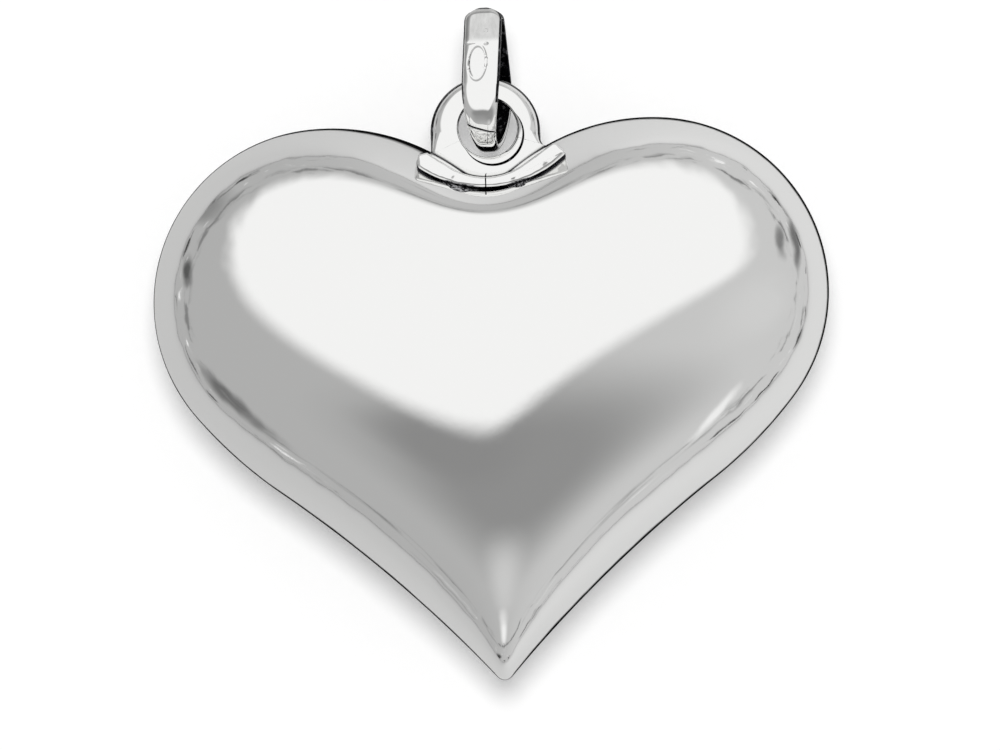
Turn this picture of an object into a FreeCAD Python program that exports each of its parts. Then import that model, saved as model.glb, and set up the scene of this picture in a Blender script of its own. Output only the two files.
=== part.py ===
import FreeCAD, Part

import cmath
import math
import os

import Sketcher

# Puffy heart pendant: a hollow silver heart of two domed shells, soldered at the
# outline, with a saddle and an eye in its cleft and a loose bail through the eye.
# It lies on its back shell, front shell up. Millimetres, +Z up, +Y to the bail.
# The heart's own drawing has the two lobe centres on y = 0 and the seam on z = 0.

SIZES = (
    ("lobe_radius", 6.99, "round of each lobe"),
    ("lobe_offset", 6.55, "lobe centre from the heart's axis"),
    ("shoulder_radius", 8.64, "arc from the lobe down to the cleft"),
    ("shoulder_angle", 85.2, "where the lobe turns into the shoulder, degrees"),
    ("hip_radius", 17.7, "arc from the lobe to the straight side"),
    ("hip_angle", 38.6, "where the lobe turns into the hip, degrees below level"),
    ("side_angle", 53.5, "where the hip turns into the side, degrees below level"),
    ("side_radius", 55.6, "slight hollow of the side"),
    ("tip_radius", 0.4, "round of the tip"),
    ("cleft_radius", 0.8, "round of the cleft"),
    ("half_depth", 5.6, "height of each dome over the seam"),
    ("wall", 0.3, "sheet of the shells"),
    ("solder_gap", 0.02, "solder under the saddle and the eye"),
    ("saddle_seat", 0.27, "saddle's thickness over the cleft"),
    ("saddle_band", 0.43, "saddle's edge seen below the eye's foot"),
    ("saddle_left", 2.74, "reach of the left wing"),
    ("saddle_left_top", 2.35, "reach of the left wing's upper edge"),
    ("saddle_left_end", 0.5, "height of the left wing's end"),
    ("saddle_right", 3.2, "reach of the right wing, to its point"),
    ("saddle_right_top", 2.72, "reach of the right wing's upper edge"),
    ("saddle_radius", 4.6, "lower arc of the saddle"),
    ("saddle_rise", 3.3, "saddle's reach over the seam, front and back"),
    ("wing_round", 0.18, "rounded end of the left wing"),
    ("foot_radius", 2.65, "arc of the eye's foot"),
    ("foot_angle", 34.0, "where the foot's arc runs out straight, degrees"),
    ("eye_radius", 2.2, "outside of the eye"),
    ("eye_rise", 1.85, "eye's centre over its foot"),
    ("eye_thickness", 1.3, "eye, front to back"),
    ("eye_round", 0.28, "rounded edges of the eye"),
    ("flare_left", 0.1, "hollow between the eye and its foot on the left"),
    ("flare_right", 0.35, "hollow between the eye and its foot on the right"),
    ("hole_radius", 1.18, "hole in the eye"),
    ("hole_rise", 2.02, "hole's centre over the foot"),
    ("hole_shift", 0.1, "hole's centre to the right of the axis"),
    ("bail_length", 5.79, "bail, end to end"),
    ("bail_thickness", 0.4, "strip of the bail"),
    ("bail_foot_radius", 1.95, "outside of the bail's wide end"),
    ("bail_top_radius", 0.55, "outside of the bail's narrow end"),
    ("bail_width", 1.52, "strip's width at the top"),
    ("bail_taper_start", 3.3, "where the taper begins, over the bail's foot"),
    ("bail_taper_radius", 16.0, "arc of the taper"),
    ("bail_corner", 0.45, "rounded corners at the bail's top"),
    ("bail_foot_gap", 0.23, "bail's foot over the edge of the hole"),
    ("bail_shift", 0.12, "bail to the right of the axis"),
    ("bail_turn", 9.5, "bail turned about the heart's length, degrees"),
)

# The dome's level lines: the outline eased inwards, finer waves fading first.
WAVES = 200
SAMPLES = 1600
CLEFT_CROWDING = 1.6
TIP_DRAW = 0.4
ROWS = 64
COLUMNS = 33
ROW_GRADING = 1.4
DEGREE = 3

# What two lengths may differ by and still count as the same.
FAIR = 1e-4

# The eye's rounding stays under this share of the wall that it is cut into.
ROUND_SHARE = 0.45

doc = FreeCAD.newDocument("puffy_heart_pendant")
sheet = doc.addObject("Spreadsheet::Sheet", "sizes")
for row, (alias, value, note) in enumerate(SIZES, start=1):
    sheet.set(f"A{row}", note)
    sheet.set(f"B{row}", str(value))
    sheet.setAlias(f"B{row}", alias)
doc.recompute()


def size(alias):
    return float(getattr(sheet, alias))


def turned(centre, radius, degrees):
    """The point at an angle on a circle."""
    angle = math.radians(degrees)
    return (centre[0] + radius * math.cos(angle), centre[1] + radius * math.sin(angle))


def bearing(start, end):
    return math.degrees(math.atan2(end[1] - start[1], end[0] - start[0]))


def heart_arcs(grow=0.0):
    """Tangent arcs of the right half, cleft to tip: centre, radius, two angles.

    A heart grown all round keeps its centres: only the radii change."""
    lobe = (size("lobe_offset"), 0.0)
    top = size("shoulder_angle")
    hip_turn = -size("hip_angle")
    side_turn = -size("side_angle")
    shoulder = turned(lobe, size("lobe_radius") - size("shoulder_radius"), top)
    hip = turned(lobe, size("lobe_radius") - size("hip_radius"), hip_turn)
    side = turned(hip, size("hip_radius") + size("side_radius"), side_turn)
    cleft_reach = size("shoulder_radius") + size("cleft_radius")
    cleft = (0.0, shoulder[1] + math.sqrt(cleft_reach ** 2 - shoulder[0] ** 2))
    tip_reach = size("side_radius") + size("tip_radius")
    tip = (0.0, side[1] + math.sqrt(tip_reach ** 2 - side[0] ** 2))
    return (
        (cleft, size("cleft_radius") - grow, -90.0, bearing(cleft, shoulder)),
        (shoulder, size("shoulder_radius") + grow, bearing(shoulder, cleft), top),
        (lobe, size("lobe_radius") + grow, top, hip_turn),
        (hip, size("hip_radius") + grow, hip_turn, side_turn),
        (side, size("side_radius") - grow, 180.0 + side_turn, bearing(side, tip) % 360.0),
        (tip, size("tip_radius") + grow, bearing(tip, side), -90.0),
    )


def along(arcs, distance):
    """The point at a distance along the arcs."""
    for centre, radius, start, end in arcs:
        length = radius * math.radians(abs(end - start))
        if distance <= length:
            break
        distance -= length
    share = min(distance / length, 1.0)
    return turned(centre, radius, start + (end - start) * share)


def outline_waves(grow):
    """The outline as waves round a circle that starts at the tip."""
    arcs = heart_arcs(grow)
    whole = sum(radius * math.radians(abs(end - start)) for _, radius, start, end in arcs)
    waves = [[0.0, 0.0] for _ in range(WAVES)]
    for sample in range(SAMPLES):
        angle = (sample + 0.5) * math.pi / SAMPLES
        drawn = angle - TIP_DRAW * math.sin(angle)
        x, y = along(arcs, whole * (1.0 - drawn / math.pi) ** CLEFT_CROWDING)
        step = cmath.exp(1j * angle)
        turn = 1.0 + 0.0j
        for wave in waves:
            wave[0] += x * turn.imag
            wave[1] += y * turn.real
            turn *= step
    scale = 2.0 / SAMPLES
    waves = [(x * scale, y * scale) for x, y in waves]
    waves[0] = (0.0, waves[0][1] / 2.0)
    return waves


def spread(count):
    """Shares from 0 to 1 for the poles of a smooth spline, closer at its two ends."""
    spans = count - DEGREE
    whole = [float(share) for share in range(spans + 1)]
    drawn = [whole[0], 1.0 / DEGREE] + whole[1:-1] + [spans - 1.0 / DEGREE, whole[-1]]
    return [share / spans for share in drawn]


def knots(count):
    """Even knots of a spline that ends on its first and last poles, and their counts."""
    spans = count - DEGREE
    counts = [DEGREE + 1] + [1] * (spans - 1) + [DEGREE + 1]
    return [float(knot) for knot in range(spans + 1)], counts


def summit_lift():
    """How far the poles stand over the summit of the spline that they carry."""
    summit_row = 0.5 ** (1.0 / ROW_GRADING)
    row_step = math.pi * ROW_GRADING * summit_row ** (ROW_GRADING - 1.0) / (ROWS - DEGREE)
    column_step = math.pi / (COLUMNS - DEGREE)
    lift = 1.0
    for step in (row_step, column_step):
        lift /= 1.0 - (1.0 - math.cos(step)) / DEGREE
    return lift


def dome_face(grow, side):
    """One dome as a smooth face, its rows running over it from rim to rim."""
    waves = outline_waves(grow)
    height = side * (size("half_depth") + grow) * summit_lift()
    grid = []
    for row in spread(ROWS):
        up = math.radians(180.0 * row ** ROW_GRADING - 90.0)
        points = []
        for column in spread(COLUMNS):
            over = math.radians(180.0 * column - 90.0)
            level = complex(-math.sin(up), math.cos(up) * math.sin(over))
            x = y = 0.0
            turn = 1.0 + 0.0j
            for wave_x, wave_y in waves:
                x += wave_x * turn.imag
                y += wave_y * turn.real
                turn *= level
            z = 0.0 if column in (0.0, 1.0) else height * math.cos(up) * math.cos(over)
            points.append(FreeCAD.Vector(x, y, z))
        if row in (0.0, 1.0):
            points = [FreeCAD.Vector(0.0, points[0].y, 0.0)] * COLUMNS
        grid.append(points)
    row_knots, row_counts = knots(ROWS)
    column_knots, column_counts = knots(COLUMNS)
    surface = Part.BSplineSurface()
    surface.buildFromPolesMultsKnots(
        grid, row_counts, column_counts, row_knots, column_knots, False, False, DEGREE, DEGREE
    )
    return surface.toShape()


def closed(faces):
    """A solid from faces that meet at their edges."""
    shell = Part.makeShell(faces)
    shell.sewShape()
    solid = Part.makeSolid(shell)
    if solid.Volume < 0.0:
        solid.reverse()
    return solid


def rim_of(dome):
    """The wire on which a dome meets the seam."""
    rims = [edge for edge in dome.Edges if edge.BoundBox.ZLength < FAIR < edge.Length]
    return Part.Wire(Part.__sortEdges__(rims))


# Heights along the heart's axis, as formulas of the sheet's sizes.
SHOULDER_X = (
    "(sizes.lobe_offset + (sizes.lobe_radius - sizes.shoulder_radius)"
    " * cos(sizes.shoulder_angle * 1deg))"
)
SHOULDER_Y = (
    "((sizes.lobe_radius - sizes.shoulder_radius) * sin(sizes.shoulder_angle * 1deg))"
)
CLEFT_Y = (
    f"({SHOULDER_Y} + sqrt((sizes.shoulder_radius + sizes.cleft_radius)^2"
    f" - {SHOULDER_X}^2) - sizes.cleft_radius)"
)
FOOT_Y = f"({CLEFT_Y} + sizes.saddle_seat)"
HOLE_Y = f"({FOOT_Y} + sizes.hole_rise)"
BAIL_Y = f"({HOLE_Y} - sizes.hole_radius + sizes.bail_foot_gap)"
HIP_X = (
    "(sizes.lobe_offset + (sizes.lobe_radius - sizes.hip_radius)"
    " * cos(sizes.hip_angle * 1deg))"
)
HIP_Y = "((sizes.hip_radius - sizes.lobe_radius) * sin(sizes.hip_angle * 1deg))"
SIDE_X = f"({HIP_X} + (sizes.hip_radius + sizes.side_radius) * cos(sizes.side_angle * 1deg))"
SIDE_Y = f"({HIP_Y} - (sizes.hip_radius + sizes.side_radius) * sin(sizes.side_angle * 1deg))"
TIP_Y = (
    f"({SIDE_Y} + sqrt((sizes.side_radius + sizes.tip_radius)^2 - {SIDE_X}^2)"
    " - sizes.tip_radius)"
)
MIDDLE_Y = f"(({TIP_Y} + {BAIL_Y} + sizes.bail_length) / 2)"


def place(item, height_formula="0", shift="0"):
    """Sets a piece over the floor, with the whole pendant's middle on y = 0."""
    item.setExpression(".Placement.Base.x", f"{shift} * 1mm")
    item.setExpression(".Placement.Base.y", f"({height_formula} - {MIDDLE_Y}) * 1mm")
    item.setExpression(".Placement.Base.z", "sizes.half_depth * 1mm")


def form(name, shape):
    """A piece of a heart's free form, whose sizes come from the sheet."""
    item = doc.addObject("Part::Feature", name)
    item.Label = name
    item.Shape = shape
    place(item)
    return item


def sketch_on(body, role, name):
    plane = next(item for item in body.Origin.OriginFeatures if item.Role == role)
    sketch = body.newObject("Sketcher::SketchObject", name)
    sketch.AttachmentSupport = [(plane, "")]
    sketch.MapMode = "FlatFace"
    return sketch


def vector(point):
    return FreeCAD.Vector(point[0], point[1], 0.0)


def line(start, end):
    return Part.LineSegment(vector(start), vector(end))


def arc(start, middle, end):
    return Part.Arc(vector(start), vector(middle), vector(end))


def draw(sketch, curves):
    """Adds a closed run of curves and joins each to the next."""
    first = sketch.GeometryCount
    for curve in curves:
        sketch.addGeometry(curve, False)
    ends = []
    for index, curve in enumerate(curves):
        start = sketch.getPoint(first + index, 1)
        ahead = (start - curve.StartPoint).Length < FAIR
        ends.append((1, 2) if ahead else (2, 1))
    for index in range(len(curves)):
        after = (index + 1) % len(curves)
        joint = Sketcher.Constraint(
            "Coincident", first + index, ends[index][1], first + after, ends[after][0]
        )
        sketch.addConstraint(joint)
    return first


def bind_radius(sketch, index, formula):
    """Ties an arc's radius to the sheet."""
    name = f"radius_{index}"
    radius = sketch.Geometry[index].Radius
    number = sketch.addConstraint(Sketcher.Constraint("Radius", index, radius))
    sketch.renameConstraint(number, name)
    sketch.setExpression(f"Constraints.{name}", formula)


def pad(body, sketch, formula):
    feature = body.newObject("PartDesign::Pad", f"{body.Name}_pad")
    feature.Profile = sketch
    feature.setExpression("Length", formula)
    feature.Midplane = True
    body.Tip = feature
    doc.recompute()
    return feature


def pocket(body, sketch):
    feature = body.newObject("PartDesign::Pocket", f"{body.Name}_pocket")
    feature.Profile = sketch
    feature.Type = "ThroughAll"
    feature.Midplane = True
    body.Tip = feature
    doc.recompute()
    return feature


def fillet(body, base, wanted, formula):
    """Rounds the edges that a test picks."""
    names = [f"Edge{i}" for i, edge in enumerate(base.Shape.Edges, start=1) if wanted(edge)]
    feature = body.newObject("PartDesign::Fillet", f"{body.Name}_fillet")
    feature.Base = (base, names)
    feature.setExpression("Radius", formula)
    body.Tip = feature
    doc.recompute()
    return feature


def cut(name, base, tool):
    """What is left of a blank where the heart takes its room."""
    item = doc.addObject("Part::Cut", name)
    item.Label = name
    item.Base = base
    item.Tool = tool
    return item


# The foot's edge, from the heart's left to its right, about the foot's lowest point.
foot_turn = math.radians(size("foot_angle"))
foot_end_x = size("foot_radius") * math.sin(foot_turn)
foot_end_y = size("foot_radius") * (1.0 - math.cos(foot_turn))


def foot_height(x):
    """Height of the foot's straight ends over its lowest point."""
    return foot_end_y + (abs(x) - foot_end_x) * math.tan(foot_turn)


# Front and back shells: domed sheets whose rims meet at the seam.
def make_shell(name, side):
    outer = dome_face(0.0, side)
    inner = dome_face(-size("wall"), side)
    rim = Part.Face([rim_of(outer), rim_of(inner)], "Part::FaceMakerBullseye")
    return form(name, closed([outer, inner, rim]))


front_shell = make_shell("front_shell", 1.0)
back_shell = make_shell("back_shell", -1.0)
domes = [dome_face(size("solder_gap"), side) for side in (1.0, -1.0)]
heart_room = form("heart_room", closed(domes))

# Saddle: a crescent bent over the cleft, on which the eye stands.
saddle_blank = doc.addObject("PartDesign::Body", "saddle_blank")
crescent = sketch_on(saddle_blank, "XY_Plane", "crescent")
left = -size("saddle_left")
right = size("saddle_right")
bottom = -size("saddle_band")
lower_centre = bottom + size("saddle_radius")


def lower_edge(x):
    return lower_centre - math.sqrt(size("saddle_radius") ** 2 - x ** 2)


left_top = -size("saddle_left_top")
right_top = size("saddle_right_top")
left_shoulder = lower_edge(left) + size("saddle_left_end")
draw(crescent, [
    arc((left, lower_edge(left)), (0.0, bottom), (right, lower_edge(right))),
    line((right, lower_edge(right)), (right_top, foot_height(right_top))),
    line((right_top, foot_height(right_top)), (foot_end_x, foot_end_y)),
    arc((foot_end_x, foot_end_y), (0.0, 0.0), (-foot_end_x, foot_end_y)),
    line((-foot_end_x, foot_end_y), (left_top, foot_height(left_top))),
    line((left_top, foot_height(left_top)), (left, left_shoulder)),
    line((left, left_shoulder), (left, lower_edge(left))),
])
bind_radius(crescent, 0, "sizes.saddle_radius")
bind_radius(crescent, 3, "sizes.foot_radius")
saddle_pad = pad(saddle_blank, crescent, "sizes.saddle_rise * 2mm")


def at_wing_end(edge):
    spot = edge.BoundBox
    return spot.ZLength > size("saddle_rise") and spot.XMax < left + FAIR


fillet(saddle_blank, saddle_pad, at_wing_end, "sizes.wing_round * 1mm")
place(saddle_blank, FOOT_Y)
saddle = cut("saddle", saddle_blank, heart_room)

# Eye: a thick washer whose foot flares out to the shoulders of the heart.
eye_blank = doc.addObject("PartDesign::Body", "eye_blank")
washer = sketch_on(eye_blank, "XY_Plane", "washer")
eye = size("eye_radius")
rise = size("eye_rise")


def flare(radius):
    """The hollow between the eye's side and its foot, right side: three points."""
    across = eye + radius
    foot = foot_height(across)
    bend = radius * (1.0 - math.sqrt(0.5))
    return (eye, foot + radius), (eye + bend, foot + bend), (across, foot)


side_start, side_middle, side_end = flare(size("flare_right"))
far_start, far_middle, far_end = ((-x, y) for x, y in flare(size("flare_left")))
draw(washer, [
    arc((eye, rise), (0.0, rise + eye), (-eye, rise)),
    line((-eye, rise), far_start),
    arc(far_start, far_middle, far_end),
    line(far_end, (-foot_end_x, foot_end_y)),
    arc((-foot_end_x, foot_end_y), (0.0, 0.0), (foot_end_x, foot_end_y)),
    line((foot_end_x, foot_end_y), side_end),
    arc(side_end, side_middle, side_start),
    line(side_start, (eye, rise)),
])
bind_radius(washer, 0, "sizes.eye_radius")
bind_radius(washer, 2, "sizes.flare_left")
bind_radius(washer, 4, "sizes.foot_radius")
bind_radius(washer, 6, "sizes.flare_right")
hole_centre = (size("hole_shift"), size("hole_rise"))
hole = Part.Circle(vector(hole_centre), FreeCAD.Vector(0.0, 0.0, 1.0), size("hole_radius"))
hole_index = washer.addGeometry(hole, False)
bind_radius(washer, hole_index, "sizes.hole_radius")
eye_pad = pad(eye_blank, washer, "sizes.eye_thickness * 1mm")


def on_eye_rim(edge):
    box = edge.BoundBox
    return box.ZLength < FAIR and box.YMin > foot_end_y + FAIR


EYE_WALL = "(sizes.eye_rise + sizes.eye_radius - sizes.hole_rise - sizes.hole_radius)"
eye_rounding = f"min(sizes.eye_round; {EYE_WALL} * {ROUND_SHARE}) * 1mm"
fillet(eye_blank, eye_pad, on_eye_rim, eye_rounding)
place(eye_blank, FOOT_Y)
eye_ring = cut("eye_ring", eye_blank, heart_room)

# Bail: a tapered strip bent to a long loop, narrow at the top, loose in the eye.
bail = doc.addObject("PartDesign::Body", "bail")
bail.Label = "bail"
front_view = sketch_on(bail, "XY_Plane", "bail_front")
half = size("bail_width") / 2.0
length = size("bail_length")
taper = size("bail_taper_start")
taper_radius = size("bail_taper_radius")
corner = size("bail_corner")
corner_bend = corner * (1.0 - math.sqrt(0.5))


def half_width(y):
    """Half the strip's width at a height in the taper."""
    return half - taper_radius + math.sqrt(taper_radius ** 2 - (taper - y) ** 2)


draw(front_view, [
    line((-half_width(0.0), 0.0), (half_width(0.0), 0.0)),
    arc((half_width(0.0), 0.0), (half_width(taper / 2.0), taper / 2.0), (half, taper)),
    line((half, taper), (half, length - corner)),
    arc((half, length - corner), (half - corner_bend, length - corner_bend), (half - corner, length)),
    line((half - corner, length), (corner - half, length)),
    arc((corner - half, length), (corner_bend - half, length - corner_bend), (-half, length - corner)),
    line((-half, length - corner), (-half, taper)),
    arc((-half, taper), (-half_width(taper / 2.0), taper / 2.0), (-half_width(0.0), 0.0)),
])
bind_radius(front_view, 1, "sizes.bail_taper_radius")
bind_radius(front_view, 7, "sizes.bail_taper_radius")
pad(bail, front_view, "sizes.bail_foot_radius * 2mm")


def teardrop(inset):
    """A loop of two round ends and the lines that touch both."""
    wide = size("bail_foot_radius")
    narrow = size("bail_top_radius")
    low = wide
    high = length - narrow
    lean = math.asin((wide - narrow) / (high - low))
    across = (math.sin(lean), math.cos(lean))
    wide -= inset
    narrow -= inset
    low_front = (low + wide * across[0], wide * across[1])
    low_back = (low_front[0], -low_front[1])
    high_front = (high + narrow * across[0], narrow * across[1])
    high_back = (high_front[0], -high_front[1])
    return [
        arc(low_front, (low - wide, 0.0), low_back),
        line(low_back, high_back),
        arc(high_back, (high + narrow, 0.0), high_front),
        line(high_front, low_front),
    ]


side_view = sketch_on(bail, "YZ_Plane", "bail_side")
clear = size("bail_foot_radius")
draw(side_view, [
    line((-clear, -2.0 * clear), (length + clear, -2.0 * clear)),
    line((length + clear, -2.0 * clear), (length + clear, 2.0 * clear)),
    line((length + clear, 2.0 * clear), (-clear, 2.0 * clear)),
    line((-clear, 2.0 * clear), (-clear, -2.0 * clear)),
])
outer_loop = draw(side_view, teardrop(0.0))
bind_radius(side_view, outer_loop, "sizes.bail_foot_radius")
inner_loop = draw(side_view, teardrop(size("bail_thickness")))
bind_radius(side_view, inner_loop, "sizes.bail_foot_radius - sizes.bail_thickness")
pocket(bail, side_view)
bail.Placement = FreeCAD.Placement(
    FreeCAD.Vector(0.0, 0.0, 0.0), FreeCAD.Rotation(FreeCAD.Vector(0.0, -1.0, 0.0), size("bail_turn"))
)
place(bail, BAIL_Y, "sizes.bail_shift")

doc.recompute()
for item in doc.Objects:
    if "Invalid" in item.State or "Error" in item.State:
        raise RuntimeError(f"{item.Label} failed: {item.State}")

os.makedirs("parts", exist_ok=True)
for piece in (front_shell, back_shell, saddle, eye_ring, bail):
    shape = piece.Shape
    if shape.isNull() or not shape.isValid():
        raise RuntimeError(f"{piece.Label} has no valid shape")
    shape.exportStep(os.path.join("parts", f"{piece.Label}.step"))
    print(piece.Label, len(shape.Solids), "solid,", round(shape.Volume, 3), "mm3", shape.BoundBox)
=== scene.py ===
import math

import bmesh
import bpy
import numpy as np
from bpy.props import FloatProperty, FloatVectorProperty, PointerProperty
from mathutils import Matrix, Vector
from mathutils.bvhtree import BVHTree


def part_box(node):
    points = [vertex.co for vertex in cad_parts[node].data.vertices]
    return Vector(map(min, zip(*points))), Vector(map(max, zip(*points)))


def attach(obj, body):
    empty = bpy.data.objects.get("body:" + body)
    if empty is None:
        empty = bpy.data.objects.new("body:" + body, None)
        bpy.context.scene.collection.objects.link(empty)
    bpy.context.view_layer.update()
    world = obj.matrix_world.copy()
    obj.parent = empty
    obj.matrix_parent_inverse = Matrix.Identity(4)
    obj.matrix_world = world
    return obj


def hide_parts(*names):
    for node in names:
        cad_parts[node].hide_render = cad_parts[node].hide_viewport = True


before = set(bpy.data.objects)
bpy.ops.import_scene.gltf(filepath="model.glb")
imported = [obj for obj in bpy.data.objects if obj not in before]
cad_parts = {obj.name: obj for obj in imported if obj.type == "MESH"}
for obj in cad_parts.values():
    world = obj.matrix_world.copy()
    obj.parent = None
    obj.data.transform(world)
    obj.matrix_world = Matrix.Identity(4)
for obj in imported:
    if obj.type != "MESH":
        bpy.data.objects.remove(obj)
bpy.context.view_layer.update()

bl_info = {
    "name": "Puffy heart pendant",
    "version": (1, 0, 0),
    "blender": (4, 5, 0),
    "location": "View3D > Sidebar > Pendant",
    "description": "A hollow silver heart with its saddle, eye and loose bail",
    "category": "Object",
}

MM = 0.001
PENDANT = "pendant"
BAIL = "bail"

# Vertices closer than this are one, and what is nearer the seam's plane lies in it.
MERGE = 0.0005 * MM
SEAM_TOLERANCE = 1e-5

# The dome's level lines are the outline eased inwards, finer waves fading first.
WAVES = 200
OUTLINE_SAMPLES = 2400

# Crowding of the outline's points to the cleft and the tip, and of the dome's rows to the tip.
CLEFT_CROWDING = 1.6
TIP_DRAW = 0.4
ROW_GRADING = 1.25
DOME_ROWS = 224
DOME_COLUMNS = 240

# The lining is copied from the skin at this size, and then gets its own points.
LINING_START = 0.9


def length(name, description, millimetres):
    return FloatProperty(
        name=name, description=description, default=millimetres * MM,
        unit="LENGTH", subtype="DISTANCE", precision=5,
    )


def turn(name, description, degrees):
    return FloatProperty(
        name=name, description=description, default=math.radians(degrees),
        unit="ROTATION", subtype="ANGLE",
    )


def share(name, description, value):
    return FloatProperty(name=name, description=description, default=value, subtype="FACTOR")


def linear(hex_colour):
    """A colour written as sRGB hex, as the shader wants it."""
    channels = [int(hex_colour[i:i + 2], 16) / 255.0 for i in (1, 3, 5)]
    return [c / 12.92 if c <= 0.04045 else ((c + 0.055) / 1.055) ** 2.4 for c in channels]


def colour(name, description, hex_colour):
    return FloatVectorProperty(
        name=name, description=description, default=linear(hex_colour),
        subtype="COLOR", size=3, min=0.0, max=1.0,
    )


class HeartSizes(bpy.types.PropertyGroup):
    lobe_radius: length("Lobe radius", "Round of each lobe", 6.99)
    lobe_offset: length("Lobe offset", "Lobe centre from the heart's axis", 6.55)
    shoulder_radius: length("Shoulder radius", "Arc from the lobe down to the cleft", 8.64)
    shoulder_angle: turn("Shoulder angle", "Where the lobe turns into the shoulder", 85.2)
    hip_radius: length("Hip radius", "Arc from the lobe to the straight side", 17.7)
    hip_angle: turn("Hip angle", "Where the lobe turns into the hip, below level", 38.6)
    side_angle: turn("Side angle", "Where the hip turns into the side, below level", 53.5)
    side_radius: length("Side radius", "Slight hollow of the side", 55.6)
    tip_radius: length("Tip radius", "Round of the tip", 0.4)
    cleft_radius: length("Cleft radius", "Round of the cleft", 0.8)
    wall: length("Wall", "Sheet of the shells", 0.3)
    seam_groove: length("Seam groove", "Depth of the fine line where the shells meet", 0.035)


class MountSizes(bpy.types.PropertyGroup):
    saddle_band: length("Saddle band", "Saddle's edge seen below the eye's foot", 0.43)
    saddle_left: length("Left wing", "Reach of the saddle's left wing", 2.74)
    saddle_left_top: length("Left wing top", "Reach of the left wing's upper edge", 2.35)
    saddle_left_end: length("Left wing end", "Height of the left wing's end", 0.5)
    saddle_right: length("Right wing", "Reach of the saddle's right wing, to its point", 3.2)
    saddle_right_top: length("Right wing top", "Reach of the right wing's upper edge", 2.72)
    saddle_radius: length("Saddle radius", "Lower arc of the saddle", 4.6)
    foot_radius: length("Foot radius", "Arc of the eye's foot", 2.65)
    foot_angle: turn("Foot angle", "Where the foot's arc runs out straight", 34.0)
    eye_radius: length("Eye radius", "Outside of the eye", 2.2)
    eye_rise: length("Eye rise", "Eye's centre over its foot", 1.85)
    saddle_round: length("Saddle rounding", "Rounded edges of the saddle", 0.15)
    round_from: length("Rounding from", "Over the foot, where the eye's face starts to round", 0.9)
    round_over: length("Rounding over", "Run over which the eye's face becomes round", 0.8)
    bevel_width: length("Bevel", "Widest place of the worn bevel round the hole", 0.31)
    bevel_bearing: turn("Bevel bearing", "Where the worn bevel is widest", -55.0)
    solder_left: length("Solder, left", "Reach of the solder under the left wing", 2.3)
    solder_right: length("Solder, right", "Reach of the solder under the right wing", 2.3)
    solder_climb: length("Solder climb", "How far the solder climbs the saddle", 0.25)
    flare_left: length("Left flare", "Hollow between the eye and its foot on the left", 0.1)
    flare_right: length("Right flare", "Hollow between the eye and its foot on the right", 0.35)
    hole_radius: length("Hole radius", "Hole in the eye", 1.18)
    hole_rise: length("Hole rise", "Hole's centre over the foot", 2.02)
    hole_shift: length("Hole shift", "Hole's centre to the right of the axis", 0.1)


class BailSizes(bpy.types.PropertyGroup):
    strip_width: length("Strip width", "Strip's width at the top", 1.52)
    strip_thickness: length("Strip thickness", "Sheet of the bail", 0.4)
    foot_radius: length("Foot radius", "Outside of the bail's wide end", 1.95)
    top_radius: length("Top radius", "Outside of the bail's narrow end", 0.55)
    loop_length: length("Length", "Bail, end to end", 5.79)
    taper_start: length("Taper start", "Where the taper begins, over the foot", 3.3)
    taper_radius: length("Taper radius", "Arc of the taper", 16.0)
    corner: length("Corner", "Rounded corners at the bail's top", 0.45)
    edge_round: length("Edge rounding", "Rounded long edges of the strip", 0.08)
    crown: length("Crown", "Fall of the strip's face towards its edges", 0.16)
    stamp_width: length("Stamp width", "Plain oval stamped in the strip, across", 0.72)
    stamp_height: length("Stamp height", "Plain oval stamped in the strip, along", 1.38)
    stamp_left: length("Stamp left", "Middle of the oval, left of the strip's middle", 0.13)
    stamp_rise: length("Stamp rise", "Middle of the oval over the bail's foot", 3.58)
    stamp_line: length("Stamp line", "Width of the oval's line", 0.04)
    stamp_depth: length("Stamp depth", "Depth of the oval's line", 0.035)
    lean: turn("Lean", "Bail turned about the heart's length", 9.5)


CLASSES = [HeartSizes, MountSizes, BailSizes]


def on_circle(centre, radius, angle):
    return (centre[0] + radius * math.cos(angle), centre[1] + radius * math.sin(angle))


def bearing(start, end):
    return math.atan2(end[1] - start[1], end[0] - start[0])


def heart_arcs(heart, grow=0.0):
    """Tangent arcs of the right half, cleft to tip: centre, radius, two angles.

    A heart grown all round keeps its centres: only the radii change."""
    lobe = (heart.lobe_offset, 0.0)
    top = heart.shoulder_angle
    hip_turn = -heart.hip_angle
    side_turn = -heart.side_angle
    shoulder = on_circle(lobe, heart.lobe_radius - heart.shoulder_radius, top)
    hip = on_circle(lobe, heart.lobe_radius - heart.hip_radius, hip_turn)
    side = on_circle(hip, heart.hip_radius + heart.side_radius, side_turn)
    cleft_reach = heart.shoulder_radius + heart.cleft_radius
    cleft = (0.0, shoulder[1] + math.sqrt(cleft_reach ** 2 - shoulder[0] ** 2))
    tip_reach = heart.side_radius + heart.tip_radius
    tip = (0.0, side[1] + math.sqrt(tip_reach ** 2 - side[0] ** 2))
    side_end = bearing(side, tip) % (2.0 * math.pi)
    return (
        (cleft, heart.cleft_radius - grow, -math.pi / 2.0, bearing(cleft, shoulder)),
        (shoulder, heart.shoulder_radius + grow, bearing(shoulder, cleft), top),
        (lobe, heart.lobe_radius + grow, top, hip_turn),
        (hip, heart.hip_radius + grow, hip_turn, side_turn),
        (side, heart.side_radius - grow, math.pi + side_turn, side_end),
        (tip, heart.tip_radius + grow, bearing(tip, side), -math.pi / 2.0),
    )


def along(arcs, distance):
    """The point at a distance along the arcs."""
    for centre, radius, start, end in arcs:
        run = radius * abs(end - start)
        if distance <= run:
            break
        distance -= run
    part = min(distance / run, 1.0)
    return on_circle(centre, radius, start + (end - start) * part)


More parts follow.
